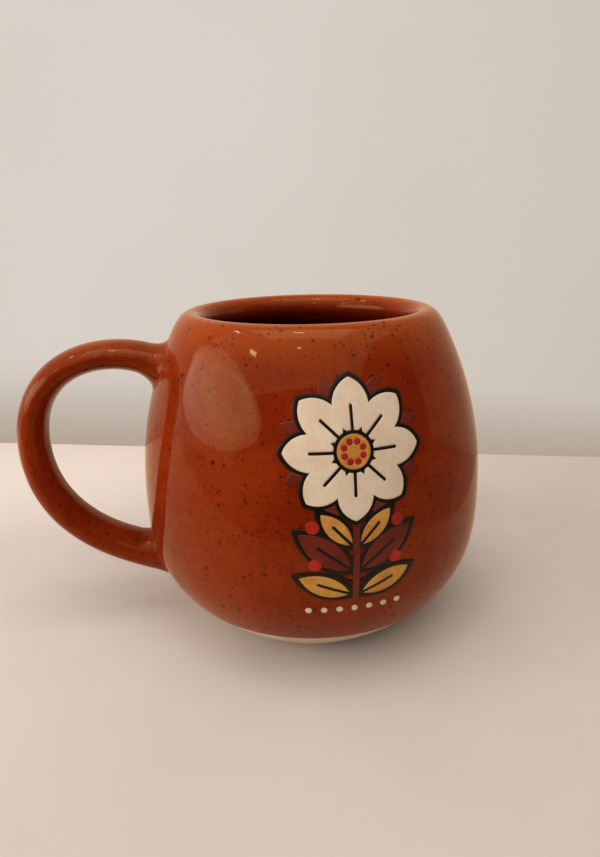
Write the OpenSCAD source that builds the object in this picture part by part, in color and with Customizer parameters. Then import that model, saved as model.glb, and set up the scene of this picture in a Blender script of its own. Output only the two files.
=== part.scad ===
// Pot-bellied stoneware mug with a pulled handle and a raised botanical print.
// Millimetres, +Z up. The origin is on the pot's axis at the plane that the foot stands on.
// The handle points along -X and the print faces -Y.

/* [Pot] */
// Height from the table to the top of the lip
height = 88.3; // [80:0.1:100]
// Outer diameter at the belly, the widest place
belly_d = 96; // [88:1:108]
// Height of the belly above the table
belly_z = 37; // [32:1:42]
// Diameter that the shoulder's curve reaches at the height of the lip
rim_d = 69; // [64:0.5:76]
// Diameter that the base's curve reaches at the table
foot_d = 56.6; // [54:0.2:62]
// How late the shoulder turns in: 2 is a parabola, more is fuller
shoulder_power = 2.2; // [1.8:0.1:3]
// How late the base turns in
base_power = 2.74; // [2:0.02:3.4]
// Thickness of the clay wall
wall_t = 4.5; // [3.6:0.1:5.4]
// Thickness of the clay floor over the recess
floor_t = 7; // [6:0.1:9]
// Radius of the corner between the inner wall and the floor
floor_corner = 12; // [8:1:14]

/* [Lip] */
// Diameter of the lip's highest circle
crest_d = 63.6; // [60:0.2:66]
// Height of the rounding outside the crest
lip_out_h = 4.4; // [3.4:0.1:5.4]
// Width of the lip's rounding inside the crest
lip_in_w = 3.8; // [3:0.1:4.6]
// Height of the lip's rounding inside the crest
lip_in_h = 4.2; // [3:0.1:5]
// Height under that rounding over which the neck thins to the wall's thickness
neck_h = 12; // [8:0.5:16]

/* [Foot] */
// Height of the bare clay that the glaze leaves free
bare_h = 10.9; // [9.5:0.1:12]
// Thickness of the bare clay round the glazed pot's base
foot_t = 2.5; // [1.8:0.1:3]
// Width of the flat ring that the mug stands on
ring_w = 4.2; // [3:0.1:7]
// Depth of the recess
recess_h = 3; // [2:0.1:3.6]
// Height of the softened outer edge of the foot
foot_edge_h = 0.6; // [0.4:0.1:1.2]
// Width of the softened outer edge of the foot
foot_edge_w = 0.5; // [0.4:0.1:1.2]

/* [Handle] */
// Distance from the pot's axis to the outermost point of the handle
reach = 79.6; // [74:0.2:90]
// Distance from the lip down to the middle of the upper root
top_root_drop = 13.3; // [12:0.1:18]
// Height of the middle of the lower root
low_root_z = 19; // [17:0.5:24]
// Rise of the strap where it leaves the upper root, in degrees
top_angle = 33; // [24:1:40]
// Rise of the strap where it leaves the lower root, in degrees
low_angle = 19; // [8:1:28]
// Width of the strap
strap_w = 13.6; // [11:0.2:17]
// Thickness of the strap at its outermost point
strap_t = 7.8; // [6.5:0.1:10]
// How much thinner the upper limb is than the outermost point
top_thinner = 0.8; // [0:0.1:1.4]
// How much thicker the lower limb is than the outermost point
low_thicker = 0.9; // [0:0.1:1.6]
// How much the strap thickens at each root
root_swell = 2.2; // [1:0.1:3]

/* [Lutes] */
// How far the clay worked round a root reaches up the strap
lute_h = 5; // [4:0.1:6.5]
// How far the upper one reaches over the pot beyond the strap's sides
top_lute_w = 3; // [2:0.1:4]
// How far the lower one reaches over the pot beyond the strap's sides
low_lute_w = 1.8; // [1:0.1:2.4]

/* [Print] */
// Drop of the print's top below the lip's
print_drop = 10.3; // [9:0.1:14]
// Height of the print
print_h = 54; // [49:1:56]
// Thickness of the raised enamel
enamel_t = 0.3; // [0.2:0.05:0.5]
// Width of the dark outlines
outline_w = 0.8; // [0.5:0.05:1.1]
// Width of the stem
stem_w = 1.5; // [1:0.1:2.2]
// Width of the stalks and of the leaves' veins
vein_w = 0.7; // [0.5:0.05:1]
// Diameter of the blossom over the petals' tips
blossom_d = 31; // [26:0.5:34]
// Diameter of the blossom's centre
centre_d = 7.6; // [6:0.1:9]
// Number of petals
petals = 8; // [6:1:9]
// Width of a petal
petal_w = 8.2; // [6.5:0.1:9]
// Diameter over the tips of the sepals behind the petals
sepal_d = 33; // [28:0.5:36]
// Width of a sepal
sepal_w = 5; // [4:0.1:6]
// Length of the longest leaves, as a share of the height below the blossom
leaf_share = 0.65; // [0.55:0.01:0.7]
// Width of a leaf, as a share of its length
leaf_w_share = 0.41; // [0.32:0.01:0.45]
// Diameter of a berry, as a share of the height below the blossom
berry_share = 0.13; // [0.1:0.005:0.15]
// Length of the shorter berry stalks, as a share of the height below the blossom
stalk_share = 0.48; // [0.42:0.01:0.52]
// Diameter of the dots round the blossom's centre and under the stem
dot_d = 1.5; // [1:0.1:2]
// Width of the row of dots under the stem, between the outermost middles
dot_row_w = 21.6; // [18:0.2:24]

/* [Hidden] */
$fn = 96;

glaze_colour = [0.49, 0.17, 0.08];
clay_colour = [0.80, 0.69, 0.56];
dark_colour = [0.10, 0.06, 0.05];
cream_colour = [0.87, 0.79, 0.66];
ochre_colour = [0.76, 0.51, 0.20];
russet_colour = [0.42, 0.15, 0.09];
red_colour = [0.66, 0.10, 0.08];

belly_r = belly_d / 2;
rim_r = rim_d / 2;
foot_r = foot_d / 2;
crest_r = crest_d / 2;
floor_z = recess_h + floor_t;
seat_z = recess_h + foot_t;
top_root_z = height - top_root_drop;
neck_z = height - lip_in_h - neck_h;
bow_r = reach - strap_t / 2;

// Where the strap's outermost point lies between its roots, from the lower one
bow_share = 0.634;
// The four arms of the strap's two curves, as shares of the spans that they bend over
top_arm_share = 0.36;
rise_share = 1.24;
fall_share = 0.71;
low_arm_share = 0.235;
// Arms of the neck's inner curve, as a share of its height
neck_arm_share = 0.36;

// Steps along each curve
wall_steps = 30;
lip_steps = 6;
neck_steps = 8;
corner_steps = 8;
edge_steps = 4;
strap_steps = 44;
strap_sides = 36;
lute_steps = 5;
cap_steps = 3;
settle_steps = 8;

// Outer radius of the pot at height z
function pot_r(z) = z > belly_z
  ? belly_r - (belly_r - rim_r) * pow((z - belly_z) / (height - belly_z), shoulder_power)
  : belly_r - (belly_r - foot_r) * pow((belly_z - z) / belly_z, base_power);

// Change of that radius with height
function pot_slope(z) = z > belly_z
  ? -(belly_r - rim_r) * shoulder_power / (height - belly_z)
    * pow((z - belly_z) / (height - belly_z), shoulder_power - 1)
  : (belly_r - foot_r) * base_power / belly_z * pow((belly_z - z) / belly_z, base_power - 1);

// Radius of the surface that lies a given depth inside the pot's outer one, at height z
function inset_r(z, depth) = pot_r(z) - depth * sqrt(1 + pow(pot_slope(z), 2));

function mix(a, b, t) = a + (b - a) * t;

// Points on curves that two or three arms steer, t from 0 to 1
function quadratic(a, b, c, t) = mix(mix(a, b, t), mix(b, c, t), t);
function cubic(p, t) = mix(quadratic(p[0], p[1], p[2], t), quadratic(p[1], p[2], p[3], t), t);
function unit(v) = v / norm(v);
function cubic_dir(p, t) = unit(quadratic(p[1] - p[0], p[2] - p[1], p[3] - p[2], t));

// Points up the pot's section between two heights, at a given depth inside its outer surface
function wall_line(low, high, steps, depth = 0) = [
  for (i = [0:steps]) let (z = mix(low, high, i / steps)) [inset_r(z, depth), z]
];

// The glazed wall from the foot to the lip, which the pot and the print share
function glazed_line(depth = 0) = wall_line(bare_h, height - lip_out_h, wall_steps, depth);

// The step where the glazed base sits in the bare foot, from its flat bottom up
function seat_line() = concat([[0, seat_z]], wall_line(seat_z, bare_h, edge_steps, foot_t));

// Rounded lip: from the outer wall over the crest to the narrowest circle inside it
function lip_line() =
  let (
    outside = [pot_r(height - lip_out_h), height - lip_out_h],
    shoulder = [pot_r(height - lip_out_h) + pot_slope(height - lip_out_h) * lip_out_h, height],
    crest = [crest_r, height]
  )
  concat(
    [for (i = [1:lip_steps]) quadratic(outside, shoulder, crest, i / lip_steps)],
    [
      for (i = [1:lip_steps])
        let (a = 90 * i / lip_steps)
        crest - [lip_in_w * sin(a), lip_in_h * (1 - cos(a))]
    ]
  );

// Inner face of the neck, from the lip's rounding down to where the wall has its own thickness
function neck_line() =
  let (
    throat = [crest_r - lip_in_w, height - lip_in_h],
    low = [inset_r(neck_z, wall_t), neck_z],
    arm = neck_arm_share * neck_h,
    curve = [throat, throat - [0, arm], low + [pot_slope(neck_z), 1] * arm, low]
  )
  [for (i = [1:neck_steps - 1]) cubic(curve, i / neck_steps)];

// Corner between the inner wall and the floor, down to the floor
function corner_line() = [
  for (i = [1:corner_steps])
    let (a = 90 * i / corner_steps, z = floor_z + floor_corner * (1 - sin(a)))
    [inset_r(z, wall_t) - floor_corner * (1 - cos(a)), z]
];

function reversed(list) = [for (i = [len(list) - 1:-1:0]) list[i]];

module pot() {
  color(glaze_colour)
    rotate_extrude()
      polygon(concat(
        seat_line(),
        glazed_line(),
        lip_line(),
        neck_line(),
        reversed(wall_line(floor_z + floor_corner, neck_z, wall_steps, wall_t)),
        corner_line(),
        [[0, floor_z]]
      ));
}

module foot() {
  edge_r = pot_r(foot_edge_h);
  recess_r = edge_r - foot_edge_w - ring_w;
  color(clay_colour)
    rotate_extrude()
      polygon(concat(
        [[0, recess_h], [recess_r, recess_h], [recess_r, 0]],
        [
          for (i = [0:edge_steps])
            let (a = 90 * i / edge_steps)
            [edge_r - foot_edge_w * (1 - sin(a)), foot_edge_h * (1 - cos(a))]
        ],
        wall_line(mix(foot_edge_h, bare_h, 1 / edge_steps), bare_h, edge_steps),
        reversed(seat_line())
      ));
}

// The strap's path lies in a plane through the pot's axis, as [distance out, height]
bow_z = mix(low_root_z, top_root_z, bow_share);
top_root = [pot_r(top_root_z), top_root_z];
low_root = [pot_r(low_root_z), low_root_z];
bow = [bow_r, bow_z];
top_arm = top_arm_share * (bow_r - top_root[0]);
low_arm = low_arm_share * (bow_r - low_root[0]);
top_dir = [cos(top_angle), sin(top_angle)];
low_dir = [cos(low_angle), sin(low_angle)];
top_curve = [
  top_root,
  top_root + top_arm * top_dir,
  bow + [0, rise_share * (top_root_z - bow_z)],
  bow
];
low_curve = [
  low_root,
  low_root + low_arm * low_dir,
  bow - [0, fall_share * (bow_z - low_root_z)],
  bow
];

// Thickness of the strap, t from 0 at a root to 1 at the outermost point
function thickness(t, thicker) = strap_t + thicker * (1 - t * t) + root_swell * pow(1 - t, 4);

// Ring of strap points round a path point, as [distance out, sideways, height]
function section(at, dir, t, w) = [
  for (i = [0:strap_sides - 1])
    let (a = 360 * i / strap_sides)
    [at[0] - dir[1] * t / 2 * cos(a), w / 2 * sin(a), at[1] + dir[0] * t / 2 * cos(a)]
];

// Moves a point along a direction until it lies on the pot's surface
function settle(p, dir, steps = settle_steps) = steps == 0
  ? p
  : let (
      r = norm([p[0], p[1]]),
      rate = dir[0] * p[0] / r - dir[1] * pot_slope(p[2])
    )
    settle(p - [dir[0], 0, dir[1]] * (r - pot_r(p[2])) / rate, dir, steps - 1);

// Ring on the pot's surface where a strap of the given size would land
function landed(root, dir, t, w) = [for (p = section(root, dir, t, w)) settle(p, dir)];

// Part of a limb's curve that the lute covers: a cubic curve starts at 3 times its arm per unit of t
function lute_part(arm) = lute_h / (3 * arm);

// Rings of one limb: from the root's middle over its landing on the pot, then out to the bow
function limb(curve, dir, arm, thicker) =
  let (start = lute_part(arm), root_t = thickness(0, thicker))
  concat(
    [for (i = [1:cap_steps])
      landed(curve[0], dir, root_t * i / cap_steps, strap_w * i / cap_steps)],
    [for (i = [0:strap_steps / 2])
      let (t = mix(start, 1, 2 * i / strap_steps))
      section(cubic(curve, t), cubic_dir(curve, t), thickness(t, thicker), strap_w)]
  );

// The same ring, numbered as a limb that runs the other way numbers it
function turned(ring) = [
  for (i = [0:strap_sides - 1]) ring[(strap_sides / 2 - i + strap_sides) % strap_sides]
];

function on_handle_side(p) = [-p[0], p[1], p[2]];

// Closed skin over a row of rings, each end closed by a fan to its own middle point
module skin_over(rings, first_middle, last_middle) {
  n = len(rings[0]);
  m = len(rings);
  points = concat([for (ring = rings) each ring], [first_middle, last_middle]);
  walls = [
    for (j = [0:m - 2], i = [0:n - 1])
      let (a = j * n + i, b = j * n + (i + 1) % n)
      each [[a, a + n, b], [b, a + n, b + n]]
  ];
  first_fan = [for (i = [0:n - 1]) [n * m, i, (i + 1) % n]];
  last_fan = [for (i = [0:n - 1]) [n * m + 1, (m - 1) * n + (i + 1) % n, (m - 1) * n + i]];
  polyhedron([for (p = points) on_handle_side(p)], concat(walls, first_fan, last_fan));
}

module handle_strap() {
  upper = limb(top_curve, top_dir, top_arm, -top_thinner);
  lower = limb(low_curve, low_dir, low_arm, low_thicker);
  outward = [for (i = [0:len(lower) - 2]) turned(lower[i])];
  color(glaze_colour)
    skin_over(
      concat(upper, reversed(outward)),
      settle([top_root[0], 0, top_root[1]], top_dir),
      settle([low_root[0], 0, low_root[1]], low_dir)
    );
}

// Collar with a hollow slope that fills the corner between a root and the pot
module lute(curve, dir, arm, thicker, w) {
  start = lute_part(arm);
  root_t = thickness(0, thicker);
  up = section(cubic(curve, start), cubic_dir(curve, start), thickness(start, thicker), strap_w);
  corner = landed(curve[0], dir, root_t, strap_w);
  between = landed(curve[0], dir, root_t + w, strap_w + w);
  out = landed(curve[0], dir, root_t + 2 * w, strap_w + 2 * w);
  loops = concat(
    [corner],
    [for (i = [0:lute_steps])
      [for (k = [0:strap_sides - 1]) quadratic(up[k], corner[k], out[k], i / lute_steps)]],
    [between]
  );
  n = strap_sides;
  m = len(loops);
  walls = [
    for (j = [0:m - 1], i = [0:n - 1])
      let (next = (j + 1) % m, a = j * n + i, b = j * n + (i + 1) % n)
      let (c = next * n + i, d = next * n + (i + 1) % n)
      each [[a, b, c], [b, d, c]]
  ];
  color(glaze_colour)
    polyhedron([for (loop = loops) each [for (p = loop) on_handle_side(p)]], walls);
}

module upper_lute() { lute(top_curve, top_dir, top_arm, -top_thinner, top_lute_w); }
module lower_lute() { lute(low_curve, low_dir, low_arm, low_thicker, low_lute_w); }

// Thin coat of enamel over the glazed wall
module coat() {
  rotate_extrude() polygon(concat(glazed_line(), reversed(glazed_line(-enamel_t))));
}

// Lays a flat figure, drawn in X and height, on the front of the pot
module on_pot() {
  intersection() {
    rotate([90, 0, 0]) linear_extrude(belly_d) children();
    coat();
  }
}

// Pointed leaf of two arcs, from the origin along +X
module leaf(l, w) {
  r = (l * l + w * w) / (4 * w);
  translate([l / 2, 0])
    intersection() {
      translate([0, r - w / 2]) circle(r);
      translate([0, w / 2 - r]) circle(r);
    }
}

// The same leaf with a margin all round
module wide_leaf(l, w, margin) {
  translate([-margin * l / w, 0]) leaf(l + 2 * margin * l / w, w + 2 * margin);
}

module bar(l, w) {
  translate([0, -w / 2]) square([l, w]);
  circle(w / 2);
  translate([l, 0]) circle(w / 2);
}

// Heights at which the shoots leave the stem, as shares of the height below the blossom
leaf_shares = [0.175, 0.44, 0.7];
berry_shares = [0.305, 0.57];
// Lengths of the veins, as shares of their leaf's or petal's
vein_share = 0.75;
petal_vein_share = 0.5;
// Sizes of the leaves and stalks, as shares of the leaf and stalk sizes above
leaf_size_shares = [0.84, 1, 0.7];
stalk_size_shares = [1, 1.2];
leaf_angles = [22, 38, 48];
berry_angles = [31, 42];
dots_each_side = 3;

print_z = height - print_drop - print_h;
shoots_h = print_h - blossom_d;
leaf_l = leaf_share * shoots_h;
leaf_w = leaf_w_share * leaf_l;
berry_d = berry_share * shoots_h;
stalk_l = stalk_share * shoots_h;
blossom_z = print_z + print_h - blossom_d / 2;
petal_root = centre_d / 2;
petal_l = blossom_d / 2 - petal_root;
sepal_l = sepal_d / 2 - petal_root;
stem_z = print_z + 2 * dot_d;

// Repeats a petal, drawn along +X, round the blossom, turned on by a share of the pitch
module round_blossom(turn = 0) {
  translate([0, blossom_z])
    for (i = [0:petals - 1])
      rotate(90 + (i + turn) * 360 / petals) translate([petal_root, 0]) children();
}

// Repeats a side shoot, drawn along +X, at both sides of the stem
module side_shoots(share, angle) {
  for (side = [0, 1])
    mirror([side, 0])
      translate([0, print_z + share * shoots_h]) rotate(angle) children();
}

module leaf_pair(i, margin = 0) {
  side_shoots(leaf_shares[i], leaf_angles[i])
    translate([stem_w, 0])
      wide_leaf(leaf_l * leaf_size_shares[i], leaf_w * leaf_size_shares[i], margin);
}

module leaf_pairs(margin = 0) { for (i = [0:len(leaf_shares) - 1]) leaf_pair(i, margin); }

module leaf_veins() {
  for (i = [0:len(leaf_shares) - 1])
    side_shoots(leaf_shares[i], leaf_angles[i])
      bar(leaf_l * leaf_size_shares[i] * vein_share, vein_w);
}

module petal_shapes(margin = 0) { round_blossom() wide_leaf(petal_l, petal_w, margin); }
module petal_veins() { round_blossom() bar(petal_l * petal_vein_share, vein_w); }
module centre_disc(margin = 0) { translate([0, blossom_z]) circle(centre_d / 2 + margin); }
module centre_dots() { round_blossom(1 / 2) translate([-dot_d, 0]) circle(dot_d / 2); }
module stem() {
  difference() {
    translate([0, stem_z]) rotate(90) bar(blossom_z - stem_z - petal_root, stem_w);
    petal_shapes(outline_w);
  }
}

module berry_places(i) {
  side_shoots(berry_shares[i], berry_angles[i])
    translate([stalk_l * stalk_size_shares[i], 0]) children();
}

module berries(margin = 0) {
  for (i = [0:len(berry_shares) - 1]) berry_places(i) circle(berry_d / 2 + margin);
}

module stalks() {
  for (i = [0:len(berry_shares) - 1])
    side_shoots(berry_shares[i], berry_angles[i]) bar(stalk_l * stalk_size_shares[i], vein_w);
}

module ground_dots() {
  for (i = [-dots_each_side:dots_each_side])
    translate([i * dot_row_w / (2 * dots_each_side), print_z]) circle(dot_d / 2);
}

module print_dark() {
  color(dark_colour)
    on_pot() {
      difference() {
        union() {
          petal_shapes(outline_w);
          leaf_pairs(outline_w);
          centre_disc(outline_w);
          stalks();
        }
        difference() {
          petal_shapes();
          centre_disc(outline_w);
          petal_veins();
        }
        difference() {
          leaf_pairs();
          leaf_veins();
        }
        centre_disc();
        stem();
        berries();
      }
    }
}

module print_cream() {
  color(cream_colour)
    on_pot() {
      difference() {
        petal_shapes();
        centre_disc(outline_w);
        petal_veins();
      }
      ground_dots();
    }
}

module print_ochre() {
  color(ochre_colour)
    on_pot() {
      difference() {
        centre_disc();
        centre_dots();
      }
      difference() {
        union() {
          leaf_pair(0);
          leaf_pair(2);
        }
        leaf_veins();
        petal_shapes(outline_w);
        berries();
      }
    }
}

module print_russet() {
  color(russet_colour)
    on_pot() {
      difference() {
        union() {
          difference() {
            round_blossom(1 / 2) leaf(sepal_l, sepal_w);
            leaf_pairs(outline_w);
          }
          stem();
        }
        petal_shapes(outline_w);
        centre_disc(outline_w);
      }
      difference() {
        leaf_pair(1);
        leaf_veins();
        berries();
      }
    }
}

module print_red() {
  color(red_colour)
    on_pot() {
      berries();
      centre_dots();
    }
}

pot();
foot();
handle_strap();
upper_lute();
lower_lute();
print_dark();
print_cream();
print_ochre();
print_russet();
print_red();
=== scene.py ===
"""Pot-bellied, iron-speckled stoneware mug with a pulled handle and a raised botanical print."""

import logging
import math
from collections.abc import Callable
from dataclasses import dataclass, field
from enum import Enum

import bmesh
import bpy
from mathutils import Matrix, Vector


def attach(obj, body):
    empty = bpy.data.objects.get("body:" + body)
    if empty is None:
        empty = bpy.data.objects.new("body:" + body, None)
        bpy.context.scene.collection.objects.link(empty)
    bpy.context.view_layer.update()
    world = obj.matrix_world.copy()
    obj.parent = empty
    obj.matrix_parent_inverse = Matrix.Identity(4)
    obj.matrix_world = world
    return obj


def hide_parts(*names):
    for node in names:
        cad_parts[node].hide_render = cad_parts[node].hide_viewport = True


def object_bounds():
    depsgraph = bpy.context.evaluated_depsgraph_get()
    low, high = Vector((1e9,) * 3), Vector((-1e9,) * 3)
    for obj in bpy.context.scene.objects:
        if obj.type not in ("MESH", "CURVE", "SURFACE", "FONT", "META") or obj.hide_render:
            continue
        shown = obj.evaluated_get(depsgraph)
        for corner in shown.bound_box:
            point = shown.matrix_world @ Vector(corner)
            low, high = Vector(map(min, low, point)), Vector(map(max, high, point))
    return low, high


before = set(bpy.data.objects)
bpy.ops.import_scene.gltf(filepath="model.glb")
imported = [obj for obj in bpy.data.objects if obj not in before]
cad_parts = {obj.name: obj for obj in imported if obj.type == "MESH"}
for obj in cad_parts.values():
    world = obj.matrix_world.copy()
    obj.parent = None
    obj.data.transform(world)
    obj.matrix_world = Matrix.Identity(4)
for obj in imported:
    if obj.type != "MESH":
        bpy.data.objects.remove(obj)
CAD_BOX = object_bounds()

logging.basicConfig(level=logging.INFO, format="%(message)s")
log = logging.getLogger("mug")

BODY = "root"
MM = 0.001
# Points closer than this are merged, in metres
MERGE = MM / 500
# The photograph's height in pixels
IMAGE_H = 857
# Side of the table and of the wall, in metres
SHEET = 10
# What the lamps face, in the middle of the mug
MIDDLE = (0.0, 0.0, 50 * MM)

Point2 = tuple[float, float]
Colour = tuple[float, float, float, float]

LAMPLIGHT: Colour = (1.0, 0.985, 0.97, 1.0)
BLACK: Colour = (0.0, 0.0, 0.0, 1.0)


class Slot(Enum):
    """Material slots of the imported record."""

    GLAZE = "glaze"
    CLAY = "bare_clay"
    DARK = "dark_enamel"
    CREAM = "cream_enamel"
    OCHRE = "ochre_enamel"
    RUSSET = "russet_enamel"
    RED = "red_enamel"


def srgb(red: int, green: int, blue: int) -> Colour:
    """Turns a colour as a screen shows it into the linear colour that shaders take.

    Args:
        red: Red, from 0 to 255.
        green: Green, from 0 to 255.
        blue: Blue, from 0 to 255.

    Returns:
        The linear colour with full alpha.
    """
    def linear(value: int) -> float:
        """One channel, from 0 to 255, made linear."""
        share = value / 255
        return share / 12.92 if share <= 0.04045 else ((share + 0.055) / 1.055) ** 2.4

    return (linear(red), linear(green), linear(blue), 1.0)


def shaded(colour: Colour, times: float) -> Colour:
    """A colour made that many times as bright, but no brighter than white."""
    return tuple(min(channel * times, 1.0) for channel in colour[:3]) + (1.0,)


def mix(low: float, high: float, t: float) -> float:
    """The value a share t of the way from low to high."""
    return low + (high - low) * t


def bent(a: Vector, b: Vector, c: Vector, t: float) -> Vector:
    """The point at t on the curve from a to c that the arm b steers."""
    return a.lerp(b, t).lerp(b.lerp(c, t), t)


# Shader node groups


class Graph:
    """Adds and links shader nodes in one node tree."""

    def __init__(self, tree: bpy.types.NodeTree) -> None:
        """Starts from an empty tree.

        Args:
            tree: The material's or the group's node tree.
        """
        self.tree = tree
        tree.nodes.clear()

    def add(self, kind: str, links: dict | None = None, **settings: object) -> bpy.types.Node:
        """Adds one node.

        Args:
            kind: The node's type, such as "ShaderNodeMix".
            links: Input name or number to a value or to the output socket that feeds it.
            settings: The node's own properties.

        Returns:
            The new node.
        """
        node = self.tree.nodes.new(kind)
        for name, value in settings.items():
            setattr(node, name, value)
        for key, value in (links or {}).items():
            socket = node.inputs[key]
            if isinstance(value, bpy.types.NodeSocket):
                self.tree.links.new(value, socket)
            else:
                socket.default_value = value
        return node

    def math(self, operation: str, *values: object) -> bpy.types.NodeSocket:
        """The output of a Math node on the given values or sockets."""
        return self.add("ShaderNodeMath", dict(enumerate(values)), operation=operation).outputs[0]

    def ramp(self, value: object, low: float, high: float, out: Point2 = (0.0, 1.0)) -> bpy.types.NodeSocket:
        """A smooth step of a value between two limits, put out between two levels."""
        links = {"Value": value, "From Min": low, "From Max": high, "To Min": out[0], "To Max": out[1]}
        return self.add("ShaderNodeMapRange", links, interpolation_type="SMOOTHSTEP").outputs["Result"]

    def share(self, value: object, low: float, high: float) -> bpy.types.NodeSocket:
        """How far a value is from low to high, from 0 to 1."""
        links = {"Value": value, "From Min": low, "From Max": high}
        return self.add("ShaderNodeMapRange", links).outputs["Result"]

    def axis(self, vector: object, name: str) -> bpy.types.NodeSocket:
        """One of a vector's coordinates: X, Y or Z."""
        return self.add("ShaderNodeSeparateXYZ", {0: vector}).outputs[name]

    def blend(self, share: object, a: object, b: object) -> bpy.types.NodeSocket:
        """The colour a share of the way from colour a to colour b."""
        return self.add("ShaderNodeMix", {0: share, 6: a, 7: b}, data_type="RGBA").outputs[2]

    def noise(
        self, vector: object, scale: object, detail: float = 3.0, rough: float = 0.55
    ) -> bpy.types.NodeSocket:
        """The value of a Noise texture, its scale in waves per unit of the vector."""
        links = {"Vector": vector, "Scale": scale, "Detail": detail, "Roughness": rough}
        return self.add("ShaderNodeTexNoise", links).outputs["Fac"]


def group(name: str, inputs: dict[str, object], outputs: dict[str, str]) -> tuple[bpy.types.NodeTree, Graph]:
    """Starts a shader node group with named inputs and outputs.

    Args:
        name: The group's name.
        inputs: Input name to its default, a number for a value or None for a vector.
        outputs: Output name to its socket type.

    Returns:
        The group's tree, and a graph to fill it with.
    """
    tree = bpy.data.node_groups.new(name, "ShaderNodeTree")
    for label, default in inputs.items():
        kind = "NodeSocketVector" if default is None else "NodeSocketFloat"
        socket = tree.interface.new_socket(label, in_out="INPUT", socket_type=kind)
        if default is not None:
            socket.default_value = default
    for label, kind in outputs.items():
        tree.interface.new_socket(label, in_out="OUTPUT", socket_type=kind)
    return tree, Graph(tree)


def speck_group() -> bpy.types.NodeTree:
    """Iron specks: round and slightly ragged dots of many sizes.

    Returns:
        A group with the inputs Vector, Per Millimetre, Largest, Share and Seed, and the outputs
        Core, the speck itself, and Halo, the rust that bleeds round it.
    """
    # Lengths are shares of a cell, which holds one speck at most
    ragged_waves, ragged_by = 3.2, 0.09
    edge_in, edge_out, halo_w = -0.03, 0.05, 0.14
    smallest, palest = 0.02, 0.35
    spread = 0.8

    names = {"Vector": None, "Per Millimetre": 0.4, "Largest": 0.2, "Share": 0.5, "Seed": 0.0}
    tree, graph = group("iron specks", names, {"Core": "NodeSocketFloat", "Halo": "NodeSocketFloat"})
    given = graph.add("NodeGroupInput").outputs
    offset = graph.add("ShaderNodeCombineXYZ", dict.fromkeys(range(3), given["Seed"])).outputs[0]
    links = {0: given["Vector"], 1: offset}
    place = graph.add("ShaderNodeVectorMath", links, operation="ADD").outputs[0]
    links = {"Vector": place, "Scale": given["Per Millimetre"], "Randomness": 1.0}
    cell = graph.add("ShaderNodeTexVoronoi", links).outputs
    chance = graph.add("ShaderNodeSeparateColor", {0: cell["Color"]}).outputs
    ragged = graph.math("MULTIPLY_ADD", graph.noise(place, ragged_waves, 2.0), ragged_by, -ragged_by / 2)
    size = graph.math("MULTIPLY", graph.math("POWER", chance[0], spread), given["Largest"])
    beyond = graph.math("SUBTRACT", graph.math("ADD", cell["Distance"], ragged), size)
    core = graph.ramp(beyond, edge_in, edge_out, (1.0, 0.0))
    halo = graph.ramp(beyond, 0.0, halo_w, (1.0, 0.0))
    present = graph.math("LESS_THAN", chance[1], given["Share"])
    solid = graph.math("GREATER_THAN", size, smallest)
    depth = graph.ramp(chance[2], 0.0, 1.0, (palest, 1.0))
    shown = graph.math("MULTIPLY", graph.math("MULTIPLY", present, solid), depth)
    end = {"Core": graph.math("MULTIPLY", core, shown), "Halo": graph.math("MULTIPLY", halo, shown)}
    graph.add("NodeGroupOutput", end)
    return tree


def mottle_group() -> bpy.types.NodeTree:
    """Cloudy variation of a fired coat at two scales, from 0 to 1.

    Returns:
        A group with the inputs Vector, Broad and Fine, in waves per millimetre, and the output Cloud.
    """
    fine_share = 0.35
    darkest, lightest = 0.36, 0.64

    names = {"Vector": None, "Broad": 0.04, "Fine": 0.4}
    tree, graph = group("kiln mottle", names, {"Cloud": "NodeSocketFloat"})
    given = graph.add("NodeGroupInput").outputs
    broad = graph.noise(given["Vector"], given["Broad"], 3.0)
    fine = graph.noise(given["Vector"], given["Fine"], 4.0, 0.65)
    both = graph.math("MULTIPLY_ADD", fine, fine_share, graph.math("MULTIPLY", broad, 1 - fine_share))
    graph.add("NodeGroupOutput", {"Cloud": graph.ramp(both, darkest, lightest)})
    return tree


def relief_group() -> bpy.types.NodeTree:
    """Small relief of a fired surface: a slow ripple, a fine grain and pinholes.

    Returns:
        A group with the inputs Vector, Ripple, Grain and Pinholes, and the output Height.
    """
    # Waves or cells per millimetre, and a pinhole's radii in cells
    ripple_waves, grain_waves, hole_cells = 0.09, 2.6, 0.55
    hole_floor, hole_edge = 0.05, 0.12

    names = {"Vector": None, "Ripple": 1.0, "Grain": 0.1, "Pinholes": 0.0}
    tree, graph = group("fired relief", names, {"Height": "NodeSocketFloat"})
    given = graph.add("NodeGroupInput").outputs
    ripple = graph.math("MULTIPLY", graph.noise(given["Vector"], ripple_waves, 2.0), given["Ripple"])
    grain = graph.math("MULTIPLY", graph.noise(given["Vector"], grain_waves, 5.0, 0.7), given["Grain"])
    links = {"Vector": given["Vector"], "Scale": hole_cells}
    holes = graph.add("ShaderNodeTexVoronoi", links).outputs["Distance"]
    dips = graph.ramp(holes, hole_floor, hole_edge, (-1.0, 0.0))
    dips = graph.math("MULTIPLY", dips, given["Pinholes"])
    graph.add("NodeGroupOutput", {"Height": graph.math("ADD", graph.math("ADD", ripple, grain), dips)})
    return tree


@dataclass(frozen=True)
class Specks:
    """One size of specks.

    Attributes:
        per_mm: Cells per millimetre, each with one speck at most.
        largest: Radius of the largest speck, in cells.
        share: Share of the cells with a speck.
        seed: Seed of their places.
    """

    per_mm: float
    largest: float
    share: float
    seed: float


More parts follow.
